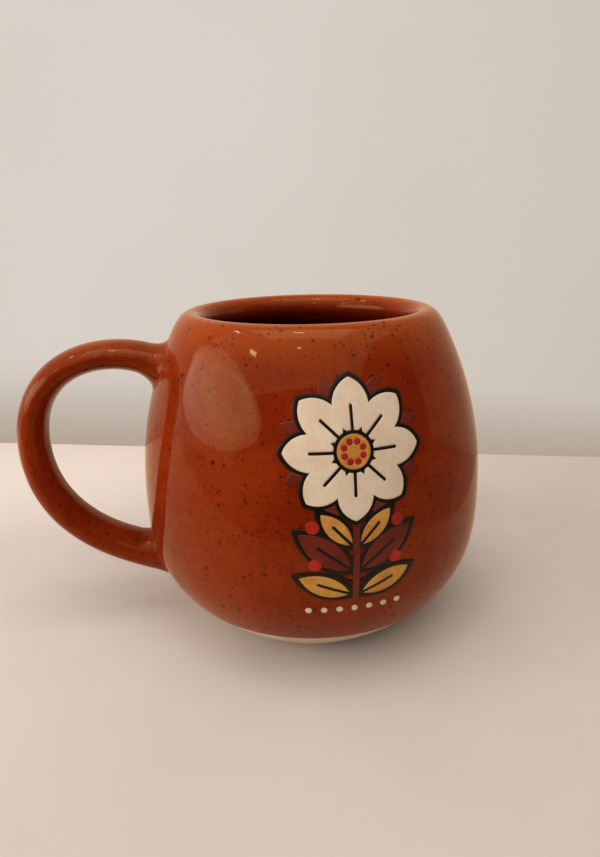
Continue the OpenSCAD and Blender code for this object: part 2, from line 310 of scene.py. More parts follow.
@dataclass(frozen=True)
class Relief:
    """How uneven a finish is.

    Attributes:
        ripple: How much of the slow ripple it has.
        grain: How much of the fine grain it has.
        pinholes: How deep its pinholes are.
        strength: Strength of the whole, from 0 to 1.
        height: Height that it stands for, in metres.
    """

    ripple: float
    grain: float
    pinholes: float
    strength: float
    height: float


class Effects:
    """The shared node groups, each built once."""

    def __init__(self) -> None:
        """Builds every group."""
        self.specks = speck_group()
        self.mottle = mottle_group()
        self.relief = relief_group()

    def cloud(self, graph: Graph, place: bpy.types.NodeSocket, waves: Point2) -> bpy.types.NodeSocket:
        """A finish's clouds, from 0 to 1: the broad and the fine ones have so many waves per millimetre."""
        links = {"Vector": place, "Broad": waves[0], "Fine": waves[1]}
        return graph.add("ShaderNodeGroup", links, node_tree=self.mottle).outputs[0]

    def dots(self, graph: Graph, place: bpy.types.NodeSocket, specks: Specks) -> bpy.types.NodeOutputs:
        """One size of specks, as the outputs Core and Halo."""
        links = {
            "Vector": place, "Per Millimetre": specks.per_mm, "Largest": specks.largest,
            "Share": specks.share, "Seed": specks.seed,
        }
        return graph.add("ShaderNodeGroup", links, node_tree=self.specks).outputs

    def bump(
        self, graph: Graph, place: bpy.types.NodeSocket, relief: Relief,
        over: bpy.types.NodeSocket | None = None,
    ) -> bpy.types.NodeSocket:
        """A finish's relief.

        Args:
            graph: The material's graph.
            place: The coordinates in millimetres.
            relief: How uneven it is.
            over: The normal that it is laid over, or None for the piece's own.

        Returns:
            The normal.
        """
        links = {"Vector": place, "Ripple": relief.ripple, "Grain": relief.grain, "Pinholes": relief.pinholes}
        height = graph.add("ShaderNodeGroup", links, node_tree=self.relief).outputs[0]
        links = {"Height": height, "Strength": relief.strength, "Distance": relief.height}
        if over is not None:
            links["Normal"] = over
        return graph.add("ShaderNodeBump", links).outputs[0]


def new_material(name: str) -> tuple[bpy.types.Material, Graph, bpy.types.NodeSocket]:
    """Starts a node material.

    Args:
        name: The material's name.

    Returns:
        The material, its graph, and the socket with the object's coordinates in metres.
    """
    material = bpy.data.materials.new(name)
    material.use_nodes = True
    graph = Graph(material.node_tree)
    return material, graph, graph.add("ShaderNodeTexCoord").outputs["Object"]


def start_material(name: str, slot: Slot) -> tuple[bpy.types.Material, Graph, bpy.types.NodeSocket]:
    """Starts a finish whose patterns are laid out in millimetres on the piece.

    Args:
        name: The finish's name.
        slot: The record's slot that it stands for.

    Returns:
        The material, its graph, and the socket with the object's coordinates in millimetres.
    """
    material, graph, metres = new_material(f"{slot.value}_{name}")
    links = {"Vector": metres, "Scale": (1 / MM, 1 / MM, 1 / MM)}
    return material, graph, graph.add("ShaderNodeMapping", links).outputs[0]


def finish_material(graph: Graph, shader: bpy.types.Node) -> None:
    """Sends a shader to the material's output."""
    graph.add("ShaderNodeOutputMaterial", {"Surface": shader.outputs[0]})


@dataclass(frozen=True)
class Glaze:
    """Glossy iron-speckled glaze, thinner and paler over an edge. Its lengths are in millimetres.

    Attributes:
        pot: The pot that it covers.
        deep: Colour where the glaze lies thick.
        warm: Colour where it lies thinner.
        thin: Colour towards the lip, from which it has run down.
        broken: Colour at the lip's crest, where it breaks to the clay.
        pooled_and_shade: Colour inside the mug, where the glaze lies thickest, with painted shade inside the
            mug.
        iron: Colour of the specks.
        rust: Colour that bleeds round them.
        thin_share: How much of the thin colour the lip has.
        broken_share: How much of the broken colour the crest has.
        pooled_and_shade_share: How much of that colour, glaze and painted shade, the inside has.
        iron_share: How much of the iron's colour a speck has.
        rust_share: How much of the rust's colour lies round it.
        mottle: Its broad and its fine clouds, in waves per millimetre.
        specks: Its specks, one entry for each size.
        relief: Its unevenness.
        wander: How fast its borders wander up and down, in waves per millimetre.
        thin_h: Height over which it gets thinner towards the lip, and how far that wanders.
        crest_h: Height of its broken band at the crest, and how far that wanders.
        throat_w: Width over which the thinner glaze ends inside the lip.
        pooled_and_shade_h: Depths below the lip from which the inside is darkest, thicker glaze and painted
            shade, and where that starts.
        pooled_and_shade_w: Width over which it is, from the middle of the pot's wall inwards.
        roughness: Its roughness from the clearest to the dullest place.
        index: Its index of refraction.
        sheen: Colour that it gives to what it mirrors.
    """

    pot: "Pot"
    deep: Colour = srgb(117, 29, 6)
    warm: Colour = srgb(134, 43, 10)
    thin: Colour = srgb(160, 66, 20)
    broken: Colour = srgb(172, 92, 48)
    pooled_and_shade: Colour = srgb(88, 14, 6)
    iron: Colour = srgb(44, 20, 12)
    rust: Colour = srgb(92, 22, 7)
    thin_share: float = 0.6
    broken_share: float = 0.5
    pooled_and_shade_share: float = 0.9
    iron_share: float = 0.92
    rust_share: float = 0.7
    mottle: Point2 = (0.045, 0.5)
    specks: tuple[Specks, ...] = (
        Specks(per_mm=1.25, largest=0.27, share=0.45, seed=3.0),
        Specks(per_mm=0.75, largest=0.27, share=0.42, seed=17.0),
        Specks(per_mm=0.34, largest=0.19, share=0.34, seed=41.0),
    )
    relief: Relief = Relief(ripple=1.0, grain=0.0, pinholes=0.0, strength=0.35, height=0.25 * MM)
    wander: float = 0.12
    thin_h: Point2 = (11, 4.8)
    crest_h: Point2 = (0.5, 0.56)
    throat_w: float = 2.5
    pooled_and_shade_h: Point2 = (7, 1.5)
    pooled_and_shade_w: float = 0.5
    roughness: Point2 = (0.045, 0.075)
    index: float = 1.29
    sheen: Colour = (1.0, 0.8, 0.3, 1.0)

    def make(self, effects: Effects) -> bpy.types.Material:
        """Builds the glaze's material.

        Args:
            effects: The shared node groups.

        Returns:
            The material.
        """
        material, graph, place = start_material("speckled", Slot.GLAZE)
        cloud = effects.cloud(graph, place, self.mottle)
        colour = self.run(graph, place, graph.blend(cloud, self.deep, self.warm))
        for size in self.specks:
            dots = effects.dots(graph, place, size)
            colour = graph.blend(graph.math("MULTIPLY", dots["Halo"], self.rust_share), colour, self.rust)
            colour = graph.blend(graph.math("MULTIPLY", dots["Core"], self.iron_share), colour, self.iron)
        shader = graph.add("ShaderNodeBsdfPrincipled", {
            "Base Color": colour, "Roughness": graph.ramp(cloud, 0.0, 1.0, self.roughness),
            "Normal": effects.bump(graph, place, self.relief), "IOR": self.index,
            "Specular Tint": self.sheen,
        })
        finish_material(graph, shader)
        return material

    def run(self, graph: Graph, place: bpy.types.NodeSocket, colour: object) -> bpy.types.NodeSocket:
        """Changes the glaze's colour where it has run: paler towards the lip, and deeper inside the mug,
        which is partly painted shade.

        Args:
            graph: The material's graph.
            place: The coordinates in millimetres.
            colour: The colour before it ran.

        Returns:
            The colour after it.
        """
        lip_z, throat_r = self.pot.wall.height / MM, (self.pot.crest_r - self.pot.lip_in_w) / MM
        height = graph.axis(place, "Z")
        flat = graph.add("ShaderNodeVectorMath", {0: place, 1: (1, 1, 0)}, operation="MULTIPLY").outputs[0]
        radius = graph.add("ShaderNodeVectorMath", {0: flat}, operation="LENGTH").outputs["Value"]
        wave = graph.noise(place, self.wander, 3.0)

        def up_to_lip(band: Point2, most: float) -> bpy.types.NodeSocket:
            """How far up a wandering band (height, wander) under the lip, from 0 to most."""
            by = graph.math("MULTIPLY_ADD", wave, band[1], -band[1] / 2)
            return graph.ramp(graph.math("ADD", height, by), lip_z - band[0], lip_z, (0.0, most))

        outside = graph.ramp(radius, throat_r, throat_r + self.throat_w)
        near = graph.math("MULTIPLY", up_to_lip(self.thin_h, self.thin_share), outside)
        colour = graph.blend(near, colour, self.thin)
        # Painted shade inside the mug, with the glaze lying thicker there: darker from just under the lip
        # down
        inward = graph.math("SUBTRACT", self.middle(graph, height), radius)
        inside = graph.ramp(inward, 0.0, self.pooled_and_shade_w)
        full, start = (lip_z - depth for depth in self.pooled_and_shade_h)
        deep = graph.math("MULTIPLY", inside, graph.ramp(height, full, start, (self.pooled_and_shade_share, 0.0)))
        colour = graph.blend(deep, colour, self.pooled_and_shade)
        return graph.blend(up_to_lip(self.crest_h, self.broken_share), colour, self.broken)

    def middle(self, graph: Graph, height: bpy.types.NodeSocket) -> bpy.types.NodeSocket:
        """The radius in the middle of the pot's wall, which parts its outside from its inside.

        Args:
            graph: The material's graph.
            height: The height in millimetres.

        Returns:
            The radius in millimetres.
        """
        wall = self.pot.wall
        radius = (wall.belly_r - self.pot.wall_t / 2) / MM
        for end_z, end_r, power in (
            (wall.height, wall.rim_r, wall.shoulder_power), (0.0, wall.foot_r, wall.base_power)
        ):
            share = graph.math("POWER", graph.share(height, wall.belly_z / MM, end_z / MM), power)
            narrower = graph.math("MULTIPLY", share, (wall.belly_r - end_r) / MM)
            radius = graph.math("SUBTRACT", radius, narrower)
        return radius


@dataclass(frozen=True)
class BareClay:
    """Matt, slightly gritty fired clay.

    Attributes:
        pale: The clay's main colour.
        dark: Its colour in the small dark grains.
        dark_share: How much of the dark colour its clouds and its grains have.
        mottle: Its broad and its fine clouds, in waves per millimetre.
        grains: Its dark grains.
        relief: Its unevenness.
        roughness: Its roughness from the smoothest to the dullest place.
        index: Its index of refraction.
    """

    pale: Colour = srgb(222, 200, 172)
    dark: Colour = srgb(176, 142, 108)
    dark_share: Point2 = (0.45, 0.5)
    mottle: Point2 = (0.08, 1.4)
    grains: Specks = Specks(per_mm=0.9, largest=0.2, share=0.4, seed=7.0)
    relief: Relief = Relief(ripple=0.4, grain=1.0, pinholes=0.6, strength=0.6, height=0.25 * MM)
    roughness: Point2 = (0.72, 0.88)
    index: float = 1.45

    def make(self, effects: Effects) -> bpy.types.Material:
        """Builds the bare clay's material.

        Args:
            effects: The shared node groups.

        Returns:
            The material.
        """
        material, graph, place = start_material("gritty", Slot.CLAY)
        cloud = effects.cloud(graph, place, self.mottle)
        grains = effects.dots(graph, place, self.grains)["Core"]
        colour = self.pale
        for mask, share in zip((cloud, grains), self.dark_share):
            colour = graph.blend(graph.math("MULTIPLY", mask, share), colour, self.dark)
        shader = graph.add("ShaderNodeBsdfPrincipled", {
            "Base Color": colour, "Roughness": graph.ramp(cloud, 0.0, 1.0, self.roughness),
            "Normal": effects.bump(graph, place, self.relief), "IOR": self.index,
        })
        finish_material(graph, shader)
        return material


@dataclass(frozen=True)
class Enamel:
    """Raised fired enamel of one colour.

    Attributes:
        slot: The record's slot.
        thick: Colour where the enamel lies thick.
        thin: Colour where the glaze shows through it a little.
        mottle: Its broad and its fine clouds, in waves per millimetre.
        relief: Its unevenness.
        soft_edge: Radius to which its surface tension rounds its edges.
        roughness: Its roughness from the smoothest to the dullest place.
        index: Its index of refraction.
        sheen: Colour that it gives to what it mirrors.
    """

    slot: Slot
    thick: Colour
    thin: Colour
    mottle: Point2 = (0.16, 1.1)
    relief: Relief = Relief(ripple=0.8, grain=0.25, pinholes=0.35, strength=0.5, height=0.2 * MM)
    soft_edge: float = 0.5 * MM
    roughness: Point2 = (0.28, 0.38)
    index: float = 1.35
    sheen: Colour = (1.0, 0.86, 0.74, 1.0)

    def make(self, effects: Effects) -> bpy.types.Material:
        """Builds the enamel's material.

        Args:
            effects: The shared node groups.

        Returns:
            The material.
        """
        material, graph, place = start_material("raised", self.slot)
        cloud = effects.cloud(graph, place, self.mottle)
        rounded = graph.add("ShaderNodeBevel", {"Radius": self.soft_edge}, samples=8).outputs[0]
        shader = graph.add("ShaderNodeBsdfPrincipled", {
            "Base Color": graph.blend(cloud, self.thick, self.thin),
            "Roughness": graph.ramp(cloud, 0.0, 1.0, self.roughness),
            "Normal": effects.bump(graph, place, self.relief, rounded), "IOR": self.index,
            "Specular Tint": self.sheen,
        })
        finish_material(graph, shader)
        return material


# Modelling tools


def deselect() -> None:
    """Leaves edit mode and deselects every object."""
    if bpy.context.mode != "OBJECT":
        bpy.ops.object.mode_set(mode="OBJECT")
    bpy.ops.object.select_all(action="DESELECT")


def smooth(crease: float) -> None:
    """Shades the active piece smooth, but for folds sharper than crease, in degrees."""
    bpy.ops.object.shade_smooth_by_angle(angle=math.radians(crease))


def quarter(count: int, first: int = 0) -> list[float]:
    """The angles that part a quarter turn into count steps, from the step first on, in radians."""
    return [math.pi / 2 * i / count for i in range(first, count + 1)]


def lathe(name: str, profile: list[Point2], steps: int, crease: float) -> bpy.types.Object:
    """Draws a profile point by point, spins it round the Z axis and smooths it.

    Args:
        name: The new object's name.
        profile: Points as (radius, height), in metres, round a closed section or from pole to pole.
        steps: Number of steps round the axis.
        crease: Angle over which a fold stays sharp, in degrees.

    Returns:
        The new object, its faces pointing outwards.
    """
    deselect()
    bpy.ops.mesh.primitive_plane_add(size=MM)
    piece = bpy.context.object
    piece.name = piece.data.name = name
    bpy.ops.object.mode_set(mode="EDIT")
    bpy.ops.mesh.merge(type="CENTER")
    start = before = (0.0, 0.0)
    for radius, height in profile:
        step = (radius - before[0], 0.0, height - before[1])
        if before == start:
            bpy.ops.transform.translate(value=step)
        else:
            bpy.ops.mesh.extrude_region_move(TRANSFORM_OT_translate={"value": step})
        before = (radius, height)
    bpy.ops.mesh.select_all(action="SELECT")
    bpy.ops.mesh.spin(steps=steps, angle=math.tau, center=(0, 0, 0), axis=(0, 0, 1))
    bpy.ops.mesh.select_all(action="SELECT")
    bpy.ops.mesh.remove_doubles(threshold=MERGE)
    bpy.ops.mesh.normals_make_consistent(inside=False)
    bpy.ops.object.mode_set(mode="OBJECT")
    smooth(crease)
    return piece


def wrapped(
    name: str, rows: int, columns: int, crease: float, place: Callable[[float, float], Vector]
) -> bpy.types.Object:
    """Adds a grid, wraps it into a tube, closes its seam and its ends, and smooths it.

    Args:
        name: The new object's name.
        rows: Steps along the tube.
        columns: Steps round it.
        crease: Angle over which a fold stays sharp, in degrees.
        place: Gives the point at (share along, share round).

    Returns:
        The new object, its faces pointing outwards.
    """
    deselect()
    bpy.ops.mesh.primitive_grid_add(x_subdivisions=rows, y_subdivisions=columns, size=1)
    piece = bpy.context.object
    piece.name = piece.data.name = name
    for vertex in piece.data.vertices:
        vertex.co = place(vertex.co.x + 0.5, vertex.co.y + 0.5)
    bpy.ops.object.mode_set(mode="EDIT")
    bpy.ops.mesh.select_all(action="SELECT")
    bpy.ops.mesh.remove_doubles(threshold=MERGE)
    bpy.ops.mesh.select_all(action="DESELECT")
    bpy.ops.mesh.select_mode(type="EDGE")
    bpy.ops.mesh.select_non_manifold()
    if any(edge.select for edge in bmesh.from_edit_mesh(piece.data).edges):
        bpy.ops.mesh.fill_holes(sides=0)
    bpy.ops.mesh.select_all(action="SELECT")
    bpy.ops.mesh.normals_make_consistent(inside=False)
    bpy.ops.mesh.select_mode(type="VERT")
    bpy.ops.object.mode_set(mode="OBJECT")
    smooth(crease)
    return piece


def dress(piece: bpy.types.Object, material: bpy.types.Material, slot: Slot, *nodes: str) -> None:
    """Gives a finished piece its material and its body, and hides the CAD nodes that it stands for.

    Args:
        piece: The finished piece.
        material: Its material.
        slot: The record's slot; not used.
        nodes: The CAD nodes that it replaces.
    """
    piece.data.materials.clear()
    piece.data.materials.append(material)
    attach(piece, BODY)
    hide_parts(*nodes)
    low, high = (Vector(f(v.co[i] for v in piece.data.vertices) for i in range(3)) for f in (min, max))
    size = ", ".join(f"{value / MM:.1f}" for value in high - low)
    count = len(piece.data.polygons)
    log.info("%s: %d faces, %s mm, stands for %s", piece.name, count, size, ", ".join(nodes))


# The mug


@dataclass(frozen=True)
class Wall:
    """The pot's outer surface, a curve over its height.

    Attributes:
        height: Height of the lip above the table.
        belly_r: Radius at the belly.
        belly_z: Height of the belly.
        rim_r: Radius that the shoulder's curve reaches at the lip's height.
        foot_r: Radius that the base's curve reaches at the table.
        shoulder_power: How late the shoulder turns in.
        base_power: How late the base turns in.
    """

    height: float = CAD_BOX[1][2]
    belly_r: float = CAD_BOX[1][0]
    belly_z: float = 37 * MM
    rim_r: float = 34.5 * MM
    foot_r: float = 28.3 * MM
    shoulder_power: float = 2.2
    base_power: float = 2.74

    def radius(self, z: float) -> float:
        """The outer radius at height z."""
        if z > self.belly_z:
            share = (z - self.belly_z) / (self.height - self.belly_z)
            return self.belly_r - (self.belly_r - self.rim_r) * share ** self.shoulder_power
        share = (self.belly_z - z) / self.belly_z
        return self.belly_r - (self.belly_r - self.foot_r) * share ** self.base_power

    def slope(self, z: float) -> float:
        """The change of that radius with height."""
        if z > self.belly_z:
            span, power = self.height - self.belly_z, self.shoulder_power
            share = (z - self.belly_z) / span
            return -(self.belly_r - self.rim_r) * power / span * share ** (power - 1)
        power = self.base_power
        share = (self.belly_z - z) / self.belly_z
        return (self.belly_r - self.foot_r) * power / self.belly_z * share ** (power - 1)

    def inset(self, z: float, depth: float) -> Point2:
        """The point (radius, height) that lies a given depth inside the surface at height z."""
        return (self.radius(z) - depth * math.hypot(1, self.slope(z)), z)

    def line(self, low: float, high: float, steps: int, depth: float = 0.0) -> list[Point2]:
        """Points up the wall.

        Args:
            low: The first height.
            high: The last height.
            steps: Number of steps between them.
            depth: How deep inside the outer surface the points lie.

        Returns:
            The points, as (radius, height).
        """
        return [self.inset(mix(low, high, i / steps), depth) for i in range(steps + 1)]


@dataclass
class Pot:
    """The glazed pot, with its rounded lip, and the bare clay foot under it.

    Attributes:
        wall: The outer surface.
        wall_t: Thickness of the wall.
        crest_r: Radius of the lip's highest circle.
        lip_out_h: Height of the rounding outside the crest.
        lip_in_w: Width of the rounding inside the crest.
        lip_in_h: Height of that rounding.
        neck_h: Height under it over which the neck thins to the wall's thickness.
        neck_arm: Share of that height that the neck's curve keeps its first direction.
        floor_z: Height of the inner floor.
        floor_corner: Radius of the corner round the floor.
        bare_h: Height of the clay that the glaze leaves free.
        foot_t: Thickness of the bare clay round the pot's base.
        seat_z: Height of the pot's flat base inside the foot.
        glaze_t: Thickness of the glaze, by which the bare clay lies back.
        bead_h: Height of the rounded lower edge of the glaze.
        ring_out_r: Outer radius of the ring that the foot stands on.
        ring_in_r: Radius of the recess.
        recess_h: Depth of the recess.
        edge: Radius of the foot's softened edges.
        steps: Steps round the axis.
        seat_steps: Steps up the short stretch where pot and foot meet.
    """

    wall: Wall
    wall_t: float = 4.5 * MM
    crest_r: float = 31.8 * MM
    lip_out_h: float = 4.4 * MM
    lip_in_w: float = 3.8 * MM
    lip_in_h: float = 4.2 * MM
    neck_h: float = 12 * MM
    neck_arm: float = 0.36
    floor_z: float = 10 * MM
    floor_corner: float = 12 * MM
    bare_h: float = 10.9 * MM
    foot_t: float = 2.5 * MM
    seat_z: float = 5.5 * MM
    glaze_t: float = 0.3 * MM
    bead_h: float = 0.7 * MM
    ring_out_r: float = 28.66 * MM
    ring_in_r: float = 24.46 * MM
    recess_h: float = 3 * MM
    edge: float = 0.6 * MM
    steps: int = 192
    seat_steps: int = 4

    @property
    def neck_z(self) -> float:
        """Height at which the neck has thinned to the wall's thickness."""
        return self.wall.height - self.lip_in_h - self.neck_h

    def lip(self) -> list[Point2]:
        """Points of the rounded lip, from the outer wall over the crest to the narrowest circle inside it."""
        wall, top = self.wall, self.wall.height
        out_z = top - self.lip_out_h
        outside = Vector(wall.inset(out_z, 0))
        crest = Vector((self.crest_r, top))
        shoulder = Vector((outside.x + wall.slope(out_z) * self.lip_out_h, top))
        count = 14
        points = [tuple(bent(outside, shoulder, crest, i / count)) for i in range(1, count + 1)]
        for angle in quarter(count, 1):
            drop = self.lip_in_h * (1 - math.cos(angle))
            points.append((self.crest_r - self.lip_in_w * math.sin(angle), top - drop))
        return points

    def neck(self) -> list[Point2]:
        """Points of the neck's inner face, from the lip's rounding down to the wall."""
        arm = self.neck_arm * self.neck_h
        throat = Vector((self.crest_r - self.lip_in_w, self.wall.height - self.lip_in_h))
        low = Vector(self.wall.inset(self.neck_z, self.wall_t))
        up = Vector((self.wall.slope(self.neck_z), 1))
        curve = (throat, throat - Vector((0, arm)), low + up * arm, low)
        count = 18
        shares = [i / count for i in range(1, count)]
        return [tuple(bent(*curve[:3], t).lerp(bent(*curve[1:], t), t)) for t in shares]

    def corner(self) -> list[Point2]:
        """Points of the corner between the inner wall and the floor, down to the floor."""
        points = []
        for angle in quarter(16, 1):
            z = self.floor_z + self.floor_corner * (1 - math.sin(angle))
            wall_r = self.wall.inset(z, self.wall_t)[0]
            points.append((wall_r - self.floor_corner * (1 - math.cos(angle)), z))
        return points

    def bead(self) -> list[Point2]:
        """Points of the glaze's rounded lower edge, from the bare clay out to the glazed wall."""
        points = []
        for angle in quarter(6)[:-1]:
            z = self.bare_h + self.bead_h * (1 - math.cos(angle))
            points.append(self.wall.inset(z, self.glaze_t * (1 - math.sin(angle))))
        return points

    def build_pot(self) -> bpy.types.Object:
        """Models the glazed pot.

        Returns:
            The piece.
        """
        wall = self.wall
        seat = [(0.0, self.seat_z)] + wall.line(self.seat_z, self.bare_h, self.seat_steps, self.foot_t)
        outer = wall.line(self.bare_h + self.bead_h, wall.height - self.lip_out_h, steps=64)
        inner = wall.line(self.floor_z + self.floor_corner, self.neck_z, steps=48, depth=self.wall_t)
        profile = seat + self.bead() + outer + self.lip() + self.neck() + inner[::-1] + self.corner()
        return lathe("pot_glazed", profile + [(0.0, self.floor_z)], self.steps, crease=50)

    def build_foot(self) -> bpy.types.Object:
        """Models the bare foot: a flat ring with softened edges round a shallow recess.

        Returns:
            The piece.
        """
        wall, soft = self.wall, self.edge
        first_r, last_r = self.ring_out_r - soft / 2, wall.inset(soft, self.glaze_t)[0]
        roof, inner, outer = [], [], []
        for angle in quarter(5):
            short, rest = 1 - math.sin(angle), 1 - math.cos(angle)
            roof.append((self.ring_in_r - soft * short, self.recess_h - soft * rest))
            inner.append((self.ring_in_r + soft * rest, soft * short))
            outer.append((mix(first_r, last_r, math.sin(angle)), soft * rest))
        top = self.bare_h + self.bead_h / 2
        side = wall.line(soft * 2, top, steps=24, depth=self.glaze_t)
        seat = wall.line(self.seat_z, top, self.seat_steps, self.foot_t)[::-1]
        profile = [(0.0, self.recess_h)] + roof + inner + outer + side + seat + [(0.0, self.seat_z)]
        return lathe("foot_bare", profile, self.steps, crease=40)


@dataclass
class Limb:
    """Half of the handle: a curve from a root on the pot to the handle's outermost point.

    Attributes:
        root: The root's middle, as (distance out, height).
        arm: The curve's arm at the root.
        angle: Rise of the strap where it leaves the root, in degrees.
        bow_arm: Height of the curve's arm at the outermost point, up or down from it.
        thicker: How much thicker the strap gets towards the root.
        lute_w: How far the clay worked round the root reaches over the pot.
    """

    root: Point2
    arm: float
    angle: float
    bow_arm: float
    thicker: float
    lute_w: float

    @property
    def heading(self) -> Vector:
        """Direction in which the strap leaves the root."""
        return Vector((math.cos(math.radians(self.angle)), math.sin(math.radians(self.angle))))

    def share_up(self, length: float) -> float:
        """The value of t at a short length from the root, where the curve's speed is three arms."""
        return length / (3 * self.arm)


@dataclass
class Handle:
    """The pulled strap and the clay worked round its two roots.

    Attributes:
        wall: The pot's outer surface.
        reach: Distance from the axis to the handle's outermost point.
        top_z: Height of the upper root's middle.
        low_z: Height of the lower root's middle.
        bow_share: Where the outermost point lies between the roots, from the lower one.
        width: Width of the strap.
        thick: Thickness at the outermost point.
        swell: How much it thickens at each root.
        lute_h: How far the worked clay reaches up the strap.
        sink: How deep the roots reach into the pot's wall.
        crease: Angle over which a fold stays sharp, in degrees.
        bow: The middle of the outermost point, as (distance out, height).
        upper: The upper limb.
        lower: The lower limb.
    """

    wall: Wall
    reach: float = -CAD_BOX[0][0]
    top_z: float = 75 * MM
    low_z: float = 19 * MM
    bow_share: float = 0.634
    width: float = 13.6 * MM
    thick: float = 7.8 * MM
    swell: float = 2.2 * MM
    lute_h: float = 5 * MM
    sink: float = 0.8 * MM
    crease: float = 60
    bow: Vector = field(init=False)
    upper: Limb = field(init=False)
    lower: Limb = field(init=False)

    def __post_init__(self) -> None:
        """Works out the two limbs from the sizes."""
        bow_z = mix(self.low_z, self.top_z, self.bow_share)
        self.bow = Vector((self.reach - self.thick / 2, bow_z))
        top_r, low_r = self.wall.radius(self.top_z), self.wall.radius(self.low_z)
        self.upper = Limb(
            root=(top_r, self.top_z), arm=0.36 * (self.bow.x - top_r), angle=33,
            bow_arm=1.24 * (self.top_z - bow_z), thicker=-0.8 * MM, lute_w=3 * MM,
        )
        self.lower = Limb(
            root=(low_r, self.low_z), arm=0.235 * (self.bow.x - low_r), angle=19,
            bow_arm=-0.71 * (bow_z - self.low_z), thicker=0.9 * MM, lute_w=1.8 * MM,
        )

    def path(self, limb: Limb, t: float) -> tuple[Vector, Vector]:
        """The point at t on a limb's curve, from 0 at the root to 1 at the bow, and its direction."""
        root = Vector(limb.root)
        points = (root, root + limb.arm * limb.heading, self.bow + Vector((0, limb.bow_arm)), self.bow)
        at = bent(*points[:3], t).lerp(bent(*points[1:], t), t)
        arms = [points[i + 1] - points[i] for i in range(3)]
        return at, bent(*arms, t).normalized()

    def thickness(self, limb: Limb, t: float) -> float:
        """The strap's thickness at t."""
        return self.thick + limb.thicker * (1 - t * t) + self.swell * (1 - t) ** 4

    def rim(self, at: Vector, heading: Vector, thick: float, width: float, turn: float) -> Vector:
        """A point round the strap, as (distance out, sideways, height).

        Args:
            at: The path's point.
            heading: The path's direction there.
            thick: The strap's thickness.
            width: Its width.
            turn: Share of a full turn round it.

        Returns:
            The point.
        """
        up, side = thick / 2 * math.cos(math.tau * turn), width / 2 * math.sin(math.tau * turn)
        return Vector((at.x - heading.y * up, side, at.y + heading.x * up))

    def landed(self, limb: Limb, grow: float, turn: float, sink: float = 0.0) -> Vector:
        """The point of the pot's surface where a strap of that size would land.

        Args:
            limb: The limb.
            grow: How much larger than the strap it is on each side.
            turn: Share of a full turn round it.
            sink: How deep inside the surface the point lies.

        Returns:
            The point, as (distance out, sideways, height).
        """
        size = self.thickness(limb, 0) + 2 * grow
        point = self.rim(Vector(limb.root), limb.heading, size, self.width + 2 * grow, turn)
        way = Vector((limb.heading.x, 0, limb.heading.y))
        tries = 12
        for _ in range(tries):
            out = math.hypot(point.x, point.y)
            rate = way.x * point.x / out - way.z * self.wall.slope(point.z)
            target = self.wall.inset(point.z, sink)[0]
            point = point - way * ((out - target) / rate)
        return point

    def build_strap(self) -> bpy.types.Object:
        """Models the strap, its two ends sunk a little into the pot.

        Returns:
            The piece.
        """
        # Share of each limb's rows that runs from inside the pot to its surface
        end = 0.03

        def place(along: float, around: float) -> Vector:
            """The point of the strap at a share along it and a share round it."""
            limb, t = (self.upper, 2 * along) if along < 0.5 else (self.lower, 2 - 2 * along)
            turn = around if along < 0.5 else 0.5 - around
            if t < end:
                point = self.landed(limb, 0, turn, self.sink * (1 - t / end))
            else:
                start = limb.share_up(self.lute_h / 3)
                t = mix(start, 1, (t - end) / (1 - end))
                point = self.rim(*self.path(limb, t), self.thickness(limb, t), self.width, turn)
            return Vector((-point.x, point.y, point.z))

        return wrapped("handle_pulled", rows=240, columns=72, crease=self.crease, place=place)

    def build_lute(self, name: str, limb: Limb) -> bpy.types.Object:
        """Models the worked clay that fills the corner between a root and the pot.

        Args:
            name: The piece's name.
            limb: The limb that it holds.

        Returns:
            The piece.
        """
        start = limb.share_up(self.lute_h)
        at, thick = self.path(limb, start), self.thickness(limb, start)
        # How deep the outer edge lies under the pot's skin
        skin = 0.02 * MM
        # Share of the rows that lies inside the pot, and where its last row starts
        back, last = 0.25, 0.999

        def place(along: float, around: float) -> Vector:
            """The point of the collar at a share over its section and a share round the strap."""
            if along <= 1 - back:
                top = self.rim(*at, thick, self.width, around)
                corner = self.landed(limb, 0, around)
                out = self.landed(limb, limb.lute_w, around, skin)
                point = bent(top, corner, out, along / (1 - back))
            elif along < last:
                grow = mix(limb.lute_w, -self.sink, (along - 1 + back) / back)
                point = self.landed(limb, grow, around, self.sink)
            else:
                point = self.rim(*at, thick - self.sink, self.width - self.sink, around)
            return Vector((-point.x, point.y, point.z))

        return wrapped(name, rows=24, columns=96, crease=self.crease, place=place)


